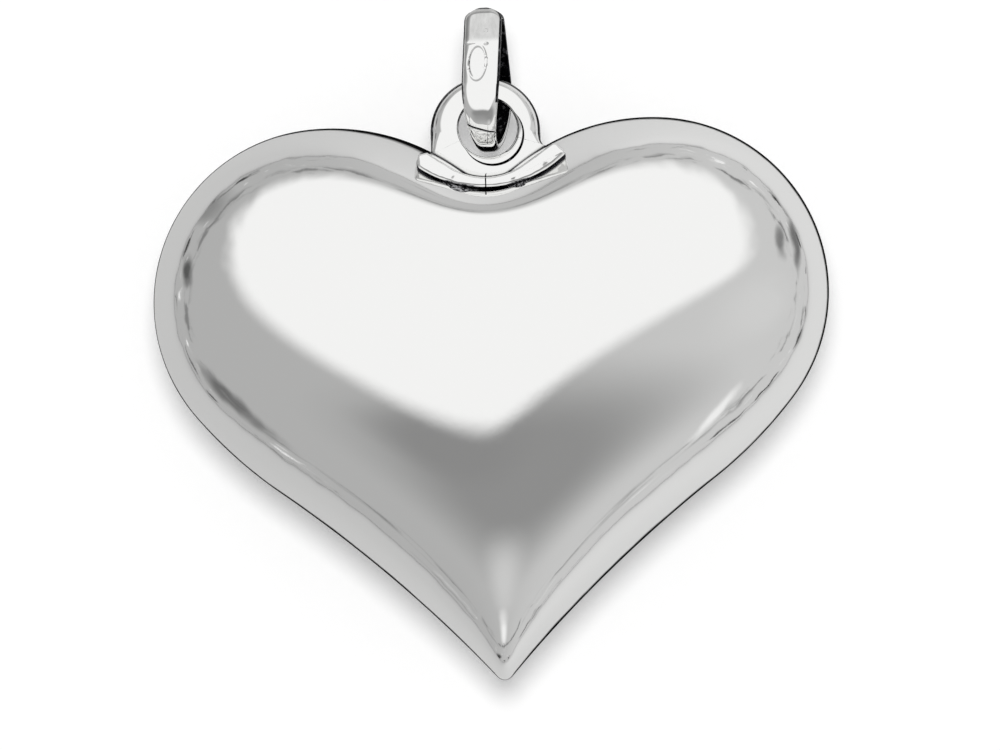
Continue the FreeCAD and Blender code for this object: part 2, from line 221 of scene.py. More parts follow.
def outline_waves(heart, grow=0.0):
    """The outline as waves round a circle that starts at the tip."""
    arcs = heart_arcs(heart, grow)
    whole = sum(radius * abs(end - start) for _, radius, start, end in arcs)
    angles = (np.arange(OUTLINE_SAMPLES) + 0.5) * math.pi / OUTLINE_SAMPLES
    drawn = angles - TIP_DRAW * np.sin(angles)
    travel = whole * (1.0 - drawn / math.pi) ** CLEFT_CROWDING
    points = np.array([along(arcs, distance) for distance in travel])
    turns = np.arange(WAVES)[:, None] * angles
    across = np.sin(turns) @ points[:, 0] * 2.0 / OUTLINE_SAMPLES
    up = np.cos(turns) @ points[:, 1] * 2.0 / OUTLINE_SAMPLES
    up[0] /= 2.0
    return across, up


class Place:
    """Where the heart's own drawing lies in the frame, worked out from the CAD boxes."""

    def __init__(self, heart):
        shell_low, shell_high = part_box("front_shell")
        tip = heart_arcs(heart)[-1][0][1] - heart.tip_radius
        self.seam = shell_low.z
        self.half_depth = shell_high.z - shell_low.z
        self.rise = shell_low.y - tip
        self.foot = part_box("eye_ring")[0].y


def write_piece(bm, name, body, nodes, materials, smooth_angle=40.0):
    """Turns a bmesh into a piece that rides on a body and stands for CAD nodes."""
    mesh = bpy.data.meshes.new(name)
    bmesh.ops.remove_doubles(bm, verts=bm.verts, dist=MERGE)
    bmesh.ops.recalc_face_normals(bm, faces=bm.faces)
    for face in bm.faces:
        face.smooth = True
    for edge in bm.edges:
        sharp = len(edge.link_faces) == 2 and edge.calc_face_angle(0.0) > math.radians(smooth_angle)
        edge.smooth = not sharp
    bm.to_mesh(mesh)
    bm.free()
    piece = bpy.data.objects.new(name, mesh)
    bpy.context.collection.objects.link(piece)
    for material in materials:
        mesh.materials.append(material)
    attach(piece, body)
    if nodes:
        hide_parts(*nodes)
    return piece


def add_node(tree, kind, inputs=None, **settings):
    """Adds a node with its settings, and its inputs as values or as links."""
    node = tree.nodes.new(kind)
    for name, value in settings.items():
        setattr(node, name, value)
    for key, value in (inputs or {}).items():
        if isinstance(value, bpy.types.NodeSocket):
            tree.links.new(value, node.inputs[key])
        else:
            node.inputs[key].default_value = value
    return node


def soft_mask(tree, *steps):
    """A mask of values, each with where it is 0 and where it is 1, multiplied together."""
    mask = 1.0
    for value, none, whole in steps:
        part = add_node(tree, "ShaderNodeMapRange", {
            "Value": value, "From Min": none, "From Max": whole,
        }, interpolation_type="SMOOTHSTEP").outputs[0]
        mask = add_node(tree, "ShaderNodeMath", {0: part, 1: mask}, operation="MULTIPLY").outputs[0]
    return mask


def new_material(name):
    material = bpy.data.materials.new(name)
    material.use_nodes = True
    material.node_tree.nodes.clear()
    return material


# Between these lies most of a noise texture.
NOISE_LOW = 0.3
NOISE_HIGH = 0.7

# How much light reaches a corner where it is all painted shade, and where it is all silver.
CORNER_DARK = 0.5
CORNER_BRIGHT = 0.85

# Haze of the mop marks to each side of the roughness, as a share of it.
HAZE_SPREAD = 0.3

# The bail's painted grey top, a painted reflection: over the bail's foot, the run over which it
# starts, its least streak.
GREY_TOP_RISE = 4.35 * MM
GREY_TOP_START = 0.25 * MM
GREY_TOP_LEAST = 0.55


def polished_silver(name, look, dents, mark_run=1.0, crevice=0.0, seam=None, grey_top_from=None):
    """Rhodium plated silver with a polish: dents, and marks drawn out along the part.

    Dents are a spacing and a height. Where a crevice is given, shade is painted into corners that
    narrow: the less light reaches them, the darker the silver. Where a seam is given, the dents are
    deep near it only. Past grey_top_from along Y the metal is painted greyer, a painted reflection
    of the grey it would mirror there."""
    material = new_material(name)
    tree = material.node_tree
    place = add_node(tree, "ShaderNodeTexCoord").outputs["Object"]
    drawn = add_node(tree, "ShaderNodeMapping", {
        "Vector": place, "Scale": (1.0, 1.0 / mark_run, 1.0),
    }).outputs[0]
    waves = add_node(tree, "ShaderNodeTexNoise", {
        "Vector": place, "Scale": 1.0 / dents[0], "Detail": 1.0, "Roughness": 0.4,
    }).outputs[0]
    marks = add_node(tree, "ShaderNodeTexNoise", {
        "Vector": drawn, "Scale": 1.0 / look.mark_spacing, "Detail": 3.0, "Roughness": 0.6,
    }).outputs[0]
    strength = 1.0
    if seam is not None:
        height = add_node(tree, "ShaderNodeSeparateXYZ", {0: place}).outputs[2]
        above = add_node(
            tree, "ShaderNodeMath", {0: height, 1: seam}, operation="SUBTRACT"
        ).outputs[0]
        off_seam = add_node(tree, "ShaderNodeMath", {0: above}, operation="ABSOLUTE").outputs[0]
        strength = add_node(tree, "ShaderNodeMapRange", {
            "Value": off_seam, "From Min": look.crinkle_from, "From Max": look.crinkle_to,
            "To Min": 1.0, "To Max": look.calm_share,
        }, interpolation_type="SMOOTHSTEP").outputs[0]
    waved = add_node(tree, "ShaderNodeBump", {
        "Height": waves, "Strength": strength, "Distance": dents[1],
    }).outputs[0]
    marked = add_node(tree, "ShaderNodeBump", {
        "Height": marks, "Strength": 1.0, "Distance": look.mark_height, "Normal": waved,
    }).outputs[0]
    haze = add_node(tree, "ShaderNodeMapRange", {
        "Value": marks, "From Min": NOISE_LOW, "From Max": NOISE_HIGH,
        "To Min": look.roughness * (1.0 - HAZE_SPREAD), "To Max": look.roughness * (1.0 + HAZE_SPREAD),
    }).outputs[0]
    skin = {"Base Color": (*look.silver, 1.0), "Metallic": 1.0, "Roughness": haze, "Normal": marked}
    # Painted shade: the silver darkens towards the shade colour where ambient occlusion finds little
    # open light.
    if crevice:
        open_to_light = add_node(tree, "ShaderNodeAmbientOcclusion", {
            "Distance": crevice,
        }, samples=8).outputs["AO"]
        skin["Base Color"] = add_node(tree, "ShaderNodeMix", {
            0: soft_mask(tree, (open_to_light, CORNER_DARK, CORNER_BRIGHT)),
            6: (*look.painted_shade, 1.0), 7: (*look.silver, 1.0),
        }, data_type="RGBA").outputs[2]
    # Painted reflection: the bail's top is painted greyer, streaked along the marks, for the grey it
    # would mirror.
    if grey_top_from is not None:
        way = add_node(tree, "ShaderNodeSeparateXYZ", {0: place}).outputs[1]
        painted_grey_top = soft_mask(tree, (way, grey_top_from, grey_top_from + GREY_TOP_START))
        streaked = add_node(tree, "ShaderNodeMapRange", {
            "Value": marks, "From Min": NOISE_LOW, "From Max": NOISE_HIGH, "To Min": GREY_TOP_LEAST,
        }).outputs[0]
        skin["Base Color"] = add_node(tree, "ShaderNodeMix", {
            0: add_node(
                tree, "ShaderNodeMath", {0: painted_grey_top, 1: streaked}, operation="MULTIPLY"
            ).outputs[0],
            6: skin["Base Color"], 7: (*look.painted_grey_top, 1.0),
        }, data_type="RGBA").outputs[2]
    silver = add_node(tree, "ShaderNodeBsdfPrincipled", skin)
    add_node(tree, "ShaderNodeOutputMaterial", {"Surface": silver.outputs[0]})
    return material


# Mottle at which the specks start and are full, where no more of them are asked for.
SPECK_START = 0.62
SPECK_FULL = 0.72


def painted_shade_metal(name, dark, pale, spacing, more, roughness, height):
    """Metal painted dark as painted shade, with pale specks, the more of them the larger more."""
    material = new_material(name)
    tree = material.node_tree
    place = add_node(tree, "ShaderNodeTexCoord").outputs["Object"]
    mottle = add_node(tree, "ShaderNodeTexNoise", {
        "Vector": place, "Scale": 1.0 / spacing, "Detail": 4.0, "Roughness": 0.65,
    }).outputs[0]
    tone = add_node(tree, "ShaderNodeMix", {
        0: soft_mask(tree, (mottle, SPECK_START - more, SPECK_FULL - more)),
        6: (*linear(dark), 1.0), 7: (*linear(pale), 1.0),
    }, data_type="RGBA").outputs[2]
    rough = add_node(tree, "ShaderNodeBump", {
        "Height": mottle, "Strength": 1.0, "Distance": height,
    }).outputs[0]
    metal = add_node(tree, "ShaderNodeBsdfPrincipled", {
        "Base Color": tone, "Metallic": 1.0, "Roughness": roughness, "Normal": rough,
    })
    add_node(tree, "ShaderNodeOutputMaterial", {"Surface": metal.outputs[0]})
    return material


def buffed_sheet_silver(look, seam):
    """Sterling silver sheet, stamped, rhodium plated and buffed by hand on a mop.

    The eye sees a mirror with hair-fine mop marks, crinkled where its rim was closed."""
    dents = (look.wave_spacing, look.wave_height)
    return polished_silver("buffed_sheet_silver", look, dents, seam=seam)


# Dents that each way of working leaves: their spacing and height. Marks of drawing run long.
CAST_DENTS = (0.7 * MM, 0.008 * MM)
FILED_DENTS = (0.4 * MM, 0.05 * MM)
DRAWN_DENTS = (0.9 * MM, 0.006 * MM)
DRAWN_RUN = 8.0


def cast_silver(look):
    """The eye: cast, tumbled and buffed. Softly uneven, so its reflections swim. Its narrowing corners
    get painted shade.
    """
    return polished_silver("cast_silver", look, CAST_DENTS, crevice=look.crevice)


def filed_plate_silver(look):
    """The saddle: plate filed to its shape by hand, with short uneven facets, and painted shade in its
    narrowing corners.
    """
    return polished_silver("filed_plate_silver", look, FILED_DENTS, crevice=look.crevice)


def drawn_strip_silver(look):
    """The bail: drawn strip, whose fine marks run along it, painted greyer over its stamp as a painted
    reflection, with painted shade in its corners.
    """
    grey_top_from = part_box("bail")[0].y + GREY_TOP_RISE
    return polished_silver(
        "drawn_strip_silver", look, DRAWN_DENTS, DRAWN_RUN, look.crevice, grey_top_from=grey_top_from
    )


def painted_shade_silver(look):
    """Inside of the bail and the hole, and edges: painted dark, as painted shade, with pale rubbed
    specks.
    """
    return painted_shade_metal(
        "painted_shade_silver", "#1B1B1E", "#8E8E92",
        spacing=0.22 * MM, more=0.07, roughness=0.32, height=0.01 * MM,
    )


def shaded_solder(look):
    """Solder in the corner under the saddle, painted dark as painted shade in the crease: pitted, and
    paler where it was rubbed.
    """
    return painted_shade_metal(
        "shaded_solder", "#222225", "#C4C4C7",
        spacing=0.16 * MM, more=0.17, roughness=0.34, height=0.03 * MM,
    )


class SilverLook(bpy.types.PropertyGroup):
    silver: colour("Silver", "Rhodium plated silver", "#F6F6F5")
    # Painted shade: the colour that narrowing corners are darkened to.
    painted_shade: colour("Tarnish", "Darkened silver in the crevices", "#26262A")
    roughness: share("Roughness", "Roughness of the buffed surface", 0.05)
    # Painted reflection: the bail's top is painted this grey for the grey it would mirror.
    painted_grey_top: colour("Rolled silver", "Silver that was rolled and not buffed", "#CDCDCC")
    wave_spacing: length("Wave spacing", "Distance between the mop's low places", 1.2)
    wave_height: length("Wave height", "Depth of the dents near the seam", 0.022)
    calm_share: share("Calm share", "What is left of the dents far from the seam", 0.08)
    crinkle_from: length("Crinkle from", "Off the seam, where the dents start to fade", 2.7)
    crinkle_to: length("Crinkle to", "Off the seam, where the dents have faded", 3.6)
    mark_spacing: length("Mark spacing", "Distance between mop marks", 0.25)
    mark_height: length("Mark height", "Depth of mop marks", 0.0004)
    # Painted shade: how far the darkening reaches out of a crevice.
    crevice: length("Crevice", "How far tarnish reaches out of a crevice", 0.16)


class StudioLook(bpy.types.PropertyGroup):
    card: colour("Card", "White card as the camera sees it", "#EDEDED")
    # Painted shade: as the metal sees it, the card is a darker copy, painted darker on the left than
    # on the right for light that falls unevenly.
    card_left: colour("Card, left", "White card's left side in the metal", "#CBCBCB")
    card_right: colour("Card, right", "White card's right side in the metal", "#E2E2E2")
    card_span: length("Card span", "Where the card is at its palest and darkest", 24.0)
    card_glow: share("Card glow", "Light that comes through the card from below", 0.21)
    room_light: share("Room light", "Even light of the tent on matt surfaces", 0.45)
    # Painted shadow: the dark ring round the heart that only the metal mirrors.
    flag_reach: length("Flag reach", "How far the dark card reaches past the heart", 2.2)
    flag_lean: share("Flag lean", "How much further it reaches on one side", 0.95)
    flag_bearing: turn("Flag bearing", "The side where the dark card reaches further", 30.0)
    frame_width: length("Frame width", "What the picture takes in at the seam", 40.08)
    frame_right: length("Frame right", "Picture's middle to the right of the axis", 0.235)
    frame_down: length("Frame down", "Picture's middle below the frame's origin", 1.257)
    frame_roll: turn("Frame roll", "Camera turned clockwise", 2.06)
    lens: FloatProperty(name="Lens", description="Long lens, in millimetres", default=300.0)
    lamp_power: FloatProperty(
        name="Lamp power", description="Lamp over the tent, in watts", default=1.35
    )
    lamp_size: length("Lamp size", "Lamp's width", 110.0)
    lamp_height: length("Lamp height", "Lamp over the card", 500.0)
    lamp_back: length("Lamp back", "Lamp beyond the pendant's top", 70.0)


CLASSES += [SilverLook, StudioLook]


def graded(rows):
    """Moves a ball's rows towards the pole at its tip, where the form is tightest."""
    part = np.clip((np.arcsin(np.clip(rows, -1.0, 1.0)) / math.pi + 0.5), 0.0, 1.0)
    return np.sin((part ** ROW_GRADING - 0.5) * math.pi)


def dome_points(ball, waves, height):
    """Points of the unit ball, tip and cleft at its poles, drawn out to the heart."""
    rows = graded(ball[:, 1])
    old_ring = np.sqrt(np.clip(1.0 - ball[:, 1] ** 2, 1e-18, None))
    ring = np.sqrt(np.clip(1.0 - rows ** 2, 0.0, None)) / old_ring
    level = -rows + 1j * ball[:, 0] * ring
    turning = np.ones(len(ball), complex)
    x = np.zeros(len(ball))
    y = np.zeros(len(ball))
    for across, up in zip(*waves):
        x += across * turning.imag
        y += up * turning.real
        turning *= level
    return np.stack([x, y, height * ball[:, 2] * ring], axis=1)


def half_ball():
    """Half a ball, open at the seam, poles at the tip and the cleft."""
    bm = bmesh.new()
    bmesh.ops.create_uvsphere(bm, u_segments=DOME_COLUMNS, v_segments=DOME_ROWS, radius=1.0)
    turned = Matrix.Rotation(math.radians(-90.0), 3, "X")
    bmesh.ops.rotate(bm, verts=bm.verts, cent=(0.0, 0.0, 0.0), matrix=turned)
    below = [vert for vert in bm.verts if vert.co.z < -SEAM_TOLERANCE]
    bmesh.ops.delete(bm, geom=below, context="VERTS")
    return bm


def move_to(verts, points):
    for vert, point in zip(verts, points):
        vert.co = point


def make_shell(name, side, heart, place, material):
    """One stamped dome of sheet, its rim eased where it meets the other."""
    bm = half_ball()
    outside = list(bm.verts)
    ball = np.array([vert.co for vert in outside])
    rim = ball[:, 2] < SEAM_TOLERANCE
    inner = bmesh.ops.duplicate(bm, geom=bm.verts[:] + bm.edges[:] + bm.faces[:])
    inside = [inner["vert_map"][vert] for vert in outside]
    bmesh.ops.scale(bm, vec=(LINING_START,) * 3, verts=inside)
    open_edges = [edge for edge in bm.edges if edge.is_boundary]
    bmesh.ops.bridge_loops(bm, edges=open_edges)
    skin = dome_points(ball, outline_waves(heart), place.half_depth)
    eased = dome_points(ball, outline_waves(heart, -heart.seam_groove), place.half_depth)
    skin[rim] = eased[rim]
    lining = dome_points(
        ball, outline_waves(heart, -heart.wall), place.half_depth - heart.wall
    )
    move_to(outside, skin)
    move_to(inside, lining)
    bmesh.ops.scale(bm, vec=(1.0, 1.0, side), verts=bm.verts)
    bmesh.ops.translate(bm, vec=(0.0, place.rise, place.seam), verts=bm.verts)
    return write_piece(bm, name, PENDANT, [name], [material])


class Pen:
    """Draws a chain of edges with spins and straight strokes."""

    def __init__(self, bm, start):
        self.bm = bm
        self.tip = bm.verts.new(start)
        self.verts = [self.tip]

    def stroke(self, to):
        grown = bmesh.ops.extrude_vert_indiv(self.bm, verts=[self.tip])
        self.tip = grown["verts"][0]
        self.tip.co = to
        self.verts.append(self.tip)

    def sweep(self, centre, angle, steps):
        for _ in range(steps):
            grown = bmesh.ops.extrude_vert_indiv(self.bm, verts=[self.tip])
            self.tip = grown["verts"][0]
            bmesh.ops.rotate(
                self.bm, verts=[self.tip], cent=centre,
                matrix=Matrix.Rotation(angle / steps, 3, "Z"),
            )
            self.verts.append(self.tip)


def foot_edge(mount):
    """The foot's edge: the end of its arc, and the height of its straight ends."""
    end_x = mount.foot_radius * math.sin(mount.foot_angle)
    end_y = mount.foot_radius * (1.0 - math.cos(mount.foot_angle))
    slope = math.tan(mount.foot_angle)
    return end_x, end_y, lambda x: end_y + (abs(x) - end_x) * slope


EYE_STEPS = 16


def eye_outline(mount):
    """The washer's outline about its foot's lowest point, as points."""
    bm = bmesh.new()
    end_x, end_y, height = foot_edge(mount)
    left = -mount.eye_radius - mount.flare_left
    right = mount.eye_radius + mount.flare_right
    left_y = height(left) + mount.flare_left
    right_y = height(right) + mount.flare_right
    pen = Pen(bm, (mount.eye_radius, mount.eye_rise, 0.0))

    def foot_line(start, end):
        """Draws one straight end of the foot in short strokes."""
        for step in range(1, EYE_STEPS + 1):
            x = start + (end - start) * step / EYE_STEPS
            pen.stroke((x, height(x), 0.0))

    pen.sweep((0.0, mount.eye_rise, 0.0), math.pi, EYE_STEPS * 6)
    pen.stroke((-mount.eye_radius, (mount.eye_rise + left_y) / 2.0, 0.0))
    pen.stroke((-mount.eye_radius, left_y, 0.0))
    pen.sweep((left, left_y, 0.0), -math.pi / 2.0, EYE_STEPS)
    foot_line(left, -end_x)
    pen.sweep((0.0, mount.foot_radius, 0.0), 2.0 * mount.foot_angle, EYE_STEPS * 3)
    foot_line(end_x, right)
    pen.sweep((right, right_y, 0.0), -math.pi / 2.0, EYE_STEPS)
    pen.stroke((mount.eye_radius, (mount.eye_rise + right_y) / 2.0, 0.0))
    points = [vert.co.copy() for vert in pen.verts]
    bm.free()
    return points


# Squareness of the eye's section: near 2 an ellipse, and larger nearer to a flat face.
RING_SQUARENESS = 2.2
FOOT_SQUARENESS = 7.0

# Groove round the worn bevel: its width where it is widest, and the least share of it.
FACE_GROOVE = 0.11 * MM
LEAST_GROOVE = 0.2

# The groove's deepest place and its end: share of its width in, and depth as a share.
GROOVE_BED = (0.5, 0.7)
GROOVE_END = (1.0, 0.1)

# The bevel's least share of its widest place, and its fall as a share of its width.
LEAST_BEVEL = 0.12
BEVEL_FALL = 0.4

# Off the eye's middle plane the painted shade on its sides reaches this high, and the hole's edge is
# rounded.
SIDE_SHADE_REACH = 0.36 * MM
HOLE_ROUND = 0.03 * MM
HOLE_ROUND_START = 0.7


def eye_section(width, half, squareness, bevel, groove):
    """Distance in from the outline and height: side, face, groove, bevel, hole's edge.

    The third value says that the metal up to the point is painted dark, as painted shade."""
    crest = width - bevel - groove
    power = 2.0 / squareness
    front = []
    for step in range(EYE_STEPS + 1):
        angle = math.pi / 2.0 * step / EYE_STEPS
        inward = crest * (1.0 - abs(math.cos(angle)) ** power)
        # Painted shade: the eye's sides are dark below this height, and so are the groove and the
        # hole's wall.
        skin = half * math.sin(angle) ** (2.0 / RING_SQUARENESS) < SIDE_SHADE_REACH
        front.append((inward, half * math.sin(angle) ** power, skin))
    for inward, depth in (GROOVE_BED, GROOVE_END):
        front.append((crest + groove * inward, half - groove * depth, True))
    edge = half - bevel * BEVEL_FALL
    front.append((width - bevel / 2.0, (half + edge) / 2.0, False))
    front.append((width - HOLE_ROUND * HOLE_ROUND_START, edge, False))
    front.append((width, edge - HOLE_ROUND, False))
    dark = [point[2] for point in front[2:]] + [True]
    back = [(point[0], -point[1], skin) for point, skin in zip(front[1:], dark)]
    return front + back[::-1]


def grow_ring(bm, ring, places, skin=0):
    """Extrudes a closed ring of vertices on to new places, with a skin of one material."""
    edges = [bm.edges.get(pair) for pair in zip(ring, ring[1:] + ring[:1])]
    grown = bmesh.ops.extrude_edge_only(bm, edges=edges)["geom"]
    fresh = {item for item in grown if isinstance(item, bmesh.types.BMVert)}
    for item in grown:
        if isinstance(item, bmesh.types.BMFace):
            item.material_index = skin
    ring = [
        next(edge.other_vert(vert) for edge in vert.link_edges if edge.other_vert(vert) in fresh)
        for vert in ring
    ]
    for vert, place in zip(ring, places):
        vert.co = place
    return ring


def make_eye(mount, place, materials):
    """Thick washer whose foot flares out to the heart's shoulders."""
    low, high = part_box("eye_ring")
    half = (high.z - low.z) / 2.0
    hole = Vector((mount.hole_shift, mount.hole_rise, 0.0))
    lift = Vector((0.0, place.foot, place.seam))
    sections = []
    for point in eye_outline(mount):
        spoke = hole - point
        inward = spoke.normalized()
        worn = math.cos(math.atan2(-spoke.y, -spoke.x) - mount.bevel_bearing)
        bevel = mount.bevel_width * max(worn, LEAST_BEVEL)
        roundness = min(max((point.y - mount.round_from) / mount.round_over, 0.0), 1.0)
        squareness = FOOT_SQUARENESS + (RING_SQUARENESS - FOOT_SQUARENESS) * roundness
        groove = FACE_GROOVE * max(worn, LEAST_GROOVE)
        section = eye_section(spoke.length - mount.hole_radius, half, squareness, bevel, groove)
        # Painted shade: points marked dark take the dark material.
        shade_skins = [int(dark) for _, _, dark in section]
        sections.append([
            point + lift + inward * way + Vector((0.0, 0.0, height)) for way, height, _ in section
        ])
    bm = bmesh.new()
    ring = [bm.verts.new(section[0]) for section in sections]
    for pair in zip(ring, ring[1:] + ring[:1]):
        bm.edges.new(pair)
    for index in [*range(1, len(shade_skins)), 0]:
        ring = grow_ring(bm, ring, [section[index] for section in sections], shade_skins[index])
    return write_piece(bm, "eye_ring_cast", PENDANT, ["eye_ring"], materials)


def saddle_edge(mount, x):
    """Height of the saddle's lower edge over the foot's lowest point."""
    return mount.saddle_radius - mount.saddle_band - math.sqrt(mount.saddle_radius ** 2 - x ** 2)


# The hairline: its place, width and depth, and how near a vertex is to lie on its middle.
SCORE_X = -0.06 * MM
SCORE_WIDTH = 0.05 * MM
SCORE_DEPTH = 0.04 * MM
SCORE_NEAR = 0.005 * MM
CUT_SNAP = 1e-9


def score_line(bm, mount, place):
    """The hairline at the saddle's middle: three cuts, the middle one sunk."""
    for shift in (-0.5, 0.0, 0.5):
        bmesh.ops.bisect_plane(
            bm, geom=bm.verts[:] + bm.edges[:] + bm.faces[:], dist=CUT_SNAP,
            plane_co=(SCORE_X + shift * SCORE_WIDTH, 0.0, 0.0), plane_no=(1.0, 0.0, 0.0),
        )
    middle = place.foot - mount.saddle_band / 2.0
    for vert in bm.verts:
        if abs(vert.co.x - SCORE_X) < SCORE_NEAR:
            vert.co.y += math.copysign(SCORE_DEPTH, middle - vert.co.y)
            vert.co.z += math.copysign(SCORE_DEPTH, place.seam - vert.co.z)


SOLDER_STEPS = 96
SOLDER_ROWS = 6

# How far the solder reaches under the saddle and into the dome, and what still shades smooth.
SOLDER_TUCK = 0.12 * MM
SOLDER_SKIRT = 0.05 * MM
SOLDER_SMOOTH = 80.0

# Where the solder swells under the wings: middle, reach and width of each place.
SOLDER_SWELLS = ((-1.25 * MM, 0.75 * MM, 0.30 * MM), (1.4 * MM, 0.45 * MM, 0.27 * MM))
SOLDER_LEAST = 0.03 * MM


def make_solder(name, side, mount, place, dome, material):
    """A hollow fillet of solder in the corner between the saddle and a dome."""
    sections = []
    for step in range(SOLDER_STEPS + 1):
        x = -mount.solder_left + (mount.solder_left + mount.solder_right) * step / SOLDER_STEPS
        end = math.sin(math.pi * step / SOLDER_STEPS) ** 0.5
        width = SOLDER_LEAST + sum(
            swell * math.exp(-((x - middle) / reach) ** 2) for middle, reach, swell in SOLDER_SWELLS
        )
        top = place.foot + saddle_edge(mount, x) + SOLDER_TUCK
        section = []
        for row in range(SOLDER_ROWS + 1):
            part = row / SOLDER_ROWS
            y = top - (SOLDER_TUCK + width * end) * part
            above = Vector((x, y, place.seam + 2.0 * place.half_depth))
            hit = dome.ray_cast(above, Vector((0.0, 0.0, -1.0)))[0]
            lift = mount.solder_climb * (1.0 - part) ** 2 * end
            section.append(Vector((x, y, hit.z + lift)))
        section.append(section[-1] - Vector((0.0, 0.0, SOLDER_SKIRT)))
        section.append(section[0] - Vector((0.0, 0.0, SOLDER_SKIRT + mount.solder_climb)))
        sections.append(section)
    bm = bmesh.new()
    ring = [bm.verts.new(point) for point in sections[0]]
    bm.faces.new(ring)
    for section in sections[1:]:
        ring = grow_ring(bm, ring, section)
    bm.faces.new(ring)
    for vert in bm.verts:
        vert.co.z = place.seam + side * (vert.co.z - place.seam)
    return write_piece(bm, name, PENDANT, [], [material], SOLDER_SMOOTH)


SADDLE_LOWER_STEPS = 40
SADDLE_FOOT_STEPS = 30
SADDLE_CRISP = math.radians(50.0)


def make_saddle(mount, place, material):
    """Crescent plate over the cleft, under the eye's foot."""
    low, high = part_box("saddle")
    bm = bmesh.new()
    end_x, end_y, height = foot_edge(mount)
    left = -mount.saddle_left
    right = mount.saddle_right
    left_top = -mount.saddle_left_top
    right_top = mount.saddle_right_top
    pen = Pen(bm, (left, saddle_edge(mount, left), 0.0))
    start = math.asin(left / mount.saddle_radius)
    end = math.asin(right / mount.saddle_radius)
    lower_centre = mount.saddle_radius - mount.saddle_band
    pen.sweep((0.0, lower_centre, 0.0), end - start, SADDLE_LOWER_STEPS)
    pen.stroke((right_top, height(right_top), 0.0))
    pen.stroke((end_x, end_y, 0.0))
    pen.sweep((0.0, mount.foot_radius, 0.0), -2.0 * mount.foot_angle, SADDLE_FOOT_STEPS)
    pen.stroke((left_top, height(left_top), 0.0))
    pen.stroke((left, saddle_edge(mount, left) + mount.saddle_left_end, 0.0))
    bm.edges.new((pen.verts[-1], pen.verts[0]))
    face = bm.faces.new(pen.verts)
    grown = bmesh.ops.extrude_face_region(bm, geom=[face])
    moved = [item for item in grown["geom"] if isinstance(item, bmesh.types.BMVert)]
    bmesh.ops.translate(bm, vec=(0.0, 0.0, high.z - low.z), verts=moved)
    bmesh.ops.translate(bm, vec=(0.0, place.foot, low.z), verts=bm.verts)
    bmesh.ops.recalc_face_normals(bm, faces=bm.faces)
    crisp = [edge for edge in bm.edges if edge.calc_face_angle(0.0) > SADDLE_CRISP]
    bmesh.ops.bevel(
        bm, geom=crisp, offset=mount.saddle_round, offset_type="OFFSET", segments=5, profile=0.5,
        affect="EDGES", material=-1,
    )
    score_line(bm, mount, place)
    return write_piece(bm, "saddle_plate", PENDANT, ["saddle"], [material])


STRIP_ROWS = 560
STRIP_COLUMNS = 60
STRIP_CRISP = math.radians(35.0)

# The butt joint of the strip's ends: its gap, its slant each way and its height over the foot.
JOINT_GAP = 0.06 * MM
JOINT_SLANT = 0.22 * MM
JOINT_HEIGHT = 0.85 * MM


def bail_loop(strip):
    """The strip's outer path: its length, its lean, and a function of the way along it.

    The path starts where the front strand meets the foot's arc, and goes down first."""
    rise = strip.loop_length - strip.top_radius - strip.foot_radius
    lean = math.asin((strip.foot_radius - strip.top_radius) / rise)
    straight = rise * math.cos(lean)
    foot_run = strip.foot_radius * (math.pi + 2.0 * lean)
    top_run = strip.top_radius * (math.pi - 2.0 * lean)
    whole = foot_run + top_run + 2.0 * straight

    def strand(part, angle):
        """A spot of a straight strand, from the foot's arc at 0 to the top's at 1."""
        radius = strip.foot_radius + (strip.top_radius - strip.foot_radius) * part
        middle = strip.foot_radius + rise * part
        return middle + radius * math.sin(angle), radius * math.cos(angle), angle

    def at(travel):
        """Height, depth and the angle of the outward direction."""
        travel %= whole
        if travel < foot_run:
            return strand(0.0, lean - travel / strip.foot_radius)
        travel -= foot_run
        if travel < straight:
            return strand(travel / straight, -math.pi - lean)
        travel -= straight
        if travel < top_run:
            return strand(1.0, -math.pi - lean - travel / strip.top_radius)
        return strand(1.0 - (travel - top_run) / straight, lean)

    return whole, lean, at


def strip_half_width(strip, height):
    """Half the strip's width at a height over the bail's foot."""
    half = strip.strip_width / 2.0
    if height < strip.taper_start:
        drop = strip.taper_start - height
        half += math.sqrt(strip.taper_radius ** 2 - drop ** 2) - strip.taper_radius
    corner_start = strip.loop_length - strip.corner
    if height > corner_start:
        over = min(height - corner_start, strip.corner)
        half += math.sqrt(strip.corner ** 2 - over ** 2) - strip.corner
    return half


CROWN_POWER = 4.0

# The rounded edges are painted dark, as painted shade, where they face sideways, over a height, and so
# is the end.
EDGE_TURN = 0.55
EDGE_FROM = 1.9 * MM
END_BAND = 0.07 * MM

# Marks of the bending tool over the oval: middle, reach and depth of each.
TOOL_MARKS = (
    ((-0.30 * MM, 4.37 * MM), (0.24 * MM, 0.045 * MM), 0.035 * MM),
    ((0.20 * MM, 4.34 * MM), (0.085 * MM, 0.06 * MM), 0.06 * MM),
    ((0.18 * MM, 4.85 * MM), (0.02 * MM, 0.22 * MM), 0.012 * MM),
)


def stamped(strip, across, height):
    """How deep the stamp and the bending tool have sunk a spot of the strip's face."""
    oval = math.hypot(
        2.0 * (across + strip.stamp_left) / strip.stamp_width,
        2.0 * (height - strip.stamp_rise) / strip.stamp_height,
    )
    off_line = (oval - 1.0) * strip.stamp_width / 2.0 / strip.stamp_line
    depth = strip.stamp_depth * math.exp(-off_line ** 2)
    for middle, reach, sunk in TOOL_MARKS:
        away = math.hypot((across - middle[0]) / reach[0], (height - middle[1]) / reach[1])
        depth += sunk * math.exp(-away ** 2)
    return depth


